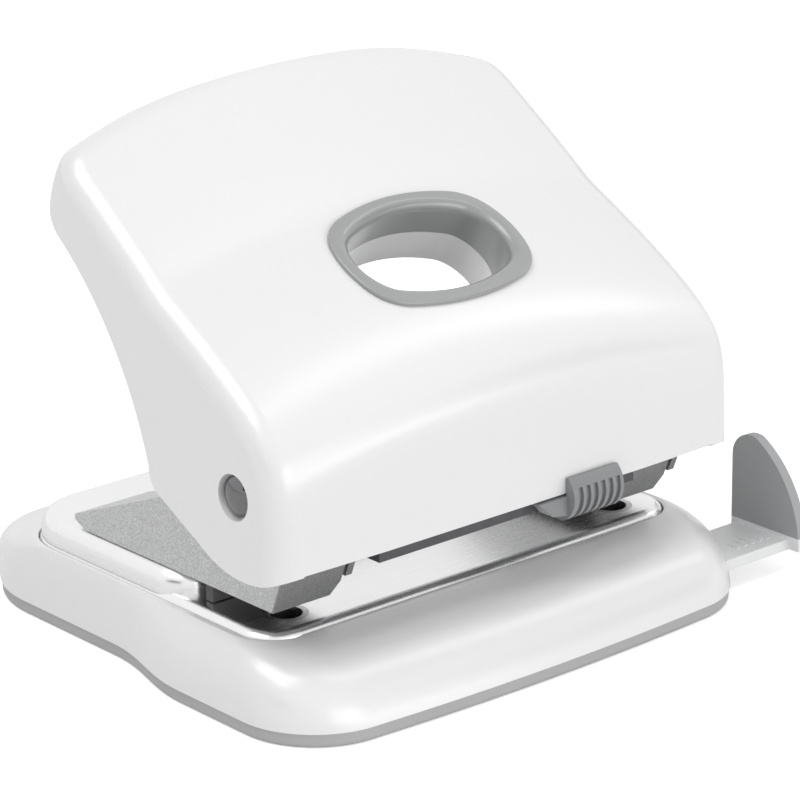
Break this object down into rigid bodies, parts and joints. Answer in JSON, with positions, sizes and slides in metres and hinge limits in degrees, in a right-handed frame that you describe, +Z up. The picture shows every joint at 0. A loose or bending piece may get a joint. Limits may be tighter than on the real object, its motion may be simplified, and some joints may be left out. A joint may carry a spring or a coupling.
{
  "type": "two-hole desk punch",
  "caption": "Manual desk hole punch: a sprung lever handle presses a pair of punch pins through paper on a steel plate, with a sliding paper guide, a lock slider and a chip tray.",
  "frame": {"origin": "middle of the base's flat underside, on the surface it stands on", "axes": "+Z up, +Y towards the free end of the handle (the back), +X towards the paper guide"},
  "size_m": [0.1298, 0.1159, 0.1018],
  "materials": {
    "shell_white": "smooth moulded white plastic with a soft gloss",
    "tray_grey": "fine satin grey plastic",
    "guide_grey": "satin mid-grey plastic",
    "grommet_grey": "satin grey plastic",
    "latch_grey": "satin grey plastic with finger grooves",
    "plate_steel": "bright plated pressed sheet",
    "bracket_paint": "grey speckled stove paint on sheet steel",
    "bare_steel": "zinc-plated steel",
    "tool_steel": "hardened and ground steel",
    "stud_chrome": "polished chrome",
    "guide_block": "dark low-friction plastic",
    "rail_dark": "black satin paint"
  },
  "bodies": {
    "base": {"base_shell": "shell_white", "base_plate": "plate_steel", "base_screws": "bare_steel", "bracket_left": "bracket_paint", "bracket_right": "bracket_paint", "bracket_rivets": "bare_steel", "guide_detent": "bare_steel", "die_left": "tool_steel", "die_right": "tool_steel", "pin_guide_left": "guide_block", "pin_guide_right": "guide_block", "return_spring_left": "tool_steel", "return_spring_right": "tool_steel", "pivot_stud_left": "stud_chrome", "pivot_stud_right": "stud_chrome", "pivot_clip_left": "bare_steel", "pivot_clip_right": "bare_steel", "tray_hinge_pin": "bare_steel"},
    "handle": {"handle_shell": "shell_white", "hole_grommet": "grommet_grey", "press_frame": "bare_steel", "frame_screws": "bare_steel", "latch_rail": "rail_dark"},
    "latch": {"latch_slider": "latch_grey"},
    "guide": {"paper_guide": "guide_grey"},
    "tray": {"chip_tray": "tray_grey"},
    "pin_left": {"punch_pin_left": "tool_steel"},
    "pin_right": {"punch_pin_right": "tool_steel"}
  },
  "joints": [
    {"name": "handle_press", "type": "hinge", "parent": "base", "child": "handle", "pos_m": [0, -0.0352, 0.0435], "axis": [-1, 0, 0], "range_deg": [0, 40], "stiffness_Nm_per_rad": 0.26, "springref_deg": -7.45},
    {"name": "pin_left_press", "type": "slide", "parent": "base", "child": "pin_left", "axis": [0, 0, -1], "range_m": [0, 0.006], "deforming": ["return_spring_left"]},
    {"name": "pin_right_press", "type": "slide", "parent": "base", "child": "pin_right", "axis": [0, 0, -1], "range_m": [0, 0.006], "deforming": ["return_spring_right"]},
    {"name": "latch_slide", "type": "slide", "parent": "handle", "child": "latch", "axis": [1, 0, 0], "range_m": [0, 0.006]},
    {"name": "guide_slide", "type": "slide", "parent": "base", "child": "guide", "axis": [1, 0, 0], "range_m": [-0.009, 0.07]},
    {"name": "tray_open", "type": "hinge", "parent": "base", "child": "tray", "pos_m": [0, 0.0572, 0.00285], "axis": [1, 0, 0], "range_deg": [0, 75]}
  ],
  "couplings": [
    {"joint": "pin_left_press", "follows": "handle_press", "m_per_rad": 0.00835},
    {"joint": "pin_right_press", "follows": "handle_press", "m_per_rad": 0.00835}
  ]
}
